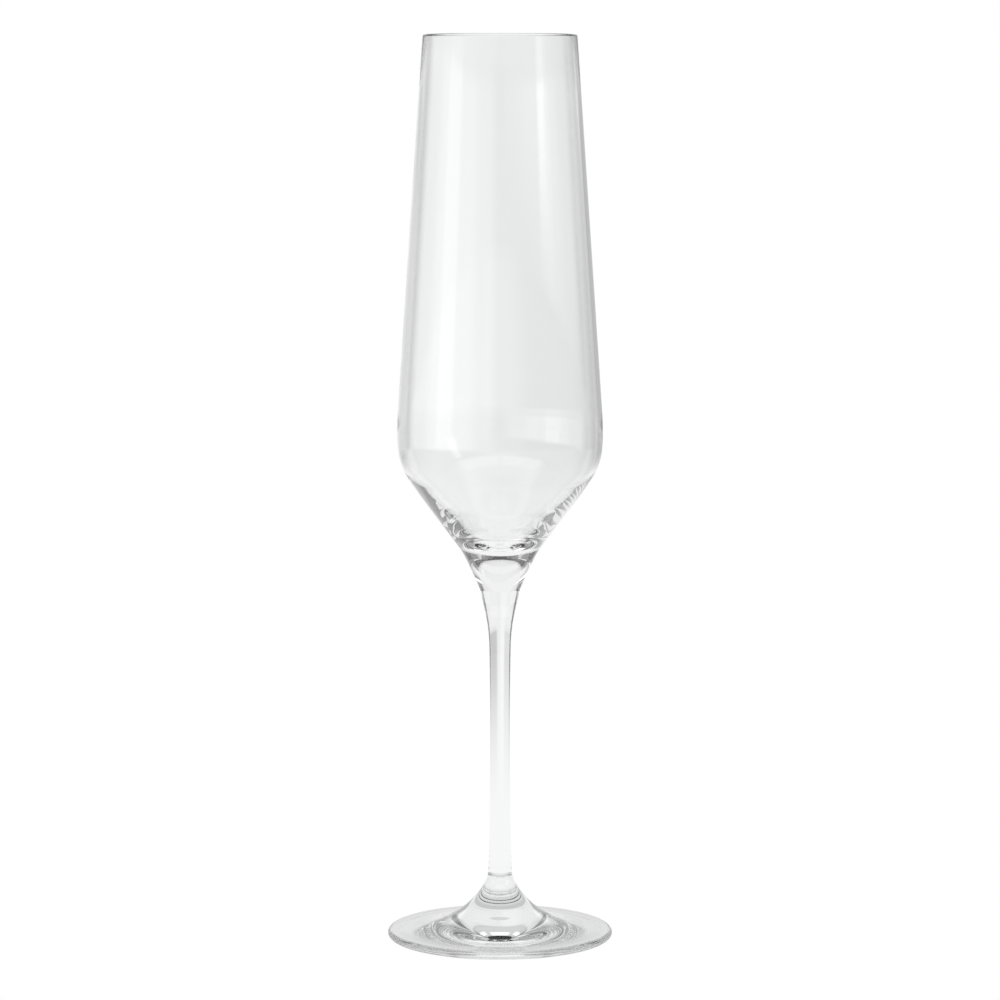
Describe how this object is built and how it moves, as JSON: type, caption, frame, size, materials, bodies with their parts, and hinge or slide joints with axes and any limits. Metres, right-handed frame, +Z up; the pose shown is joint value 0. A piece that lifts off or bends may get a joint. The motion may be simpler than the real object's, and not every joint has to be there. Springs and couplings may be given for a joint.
{
  "type": "champagne flute",
  "caption": "Tall clear stemmed drinking glass for sparkling wine, with a narrow bowl tapering to the rim, a slender stem and a round foot.",
  "frame": {"origin": "centre of the foot's contact ring, on the table plane", "axes": "+Z up along the glass's axis, from the foot to the rim"},
  "size_m": [0.0624, 0.0624, 0.25],
  "materials": {
    "bowl_glass": "clear blown crystal glass, fire-polished, smooth and glossy",
    "stem_glass": "clear drawn crystal glass, smooth and glossy",
    "foot_glass": "clear pressed crystal glass, fire-polished, smooth and glossy"
  },
  "bodies": {
    "root": {"bowl": "bowl_glass", "stem": "stem_glass", "foot": "foot_glass"}
  },
  "joints": []
}
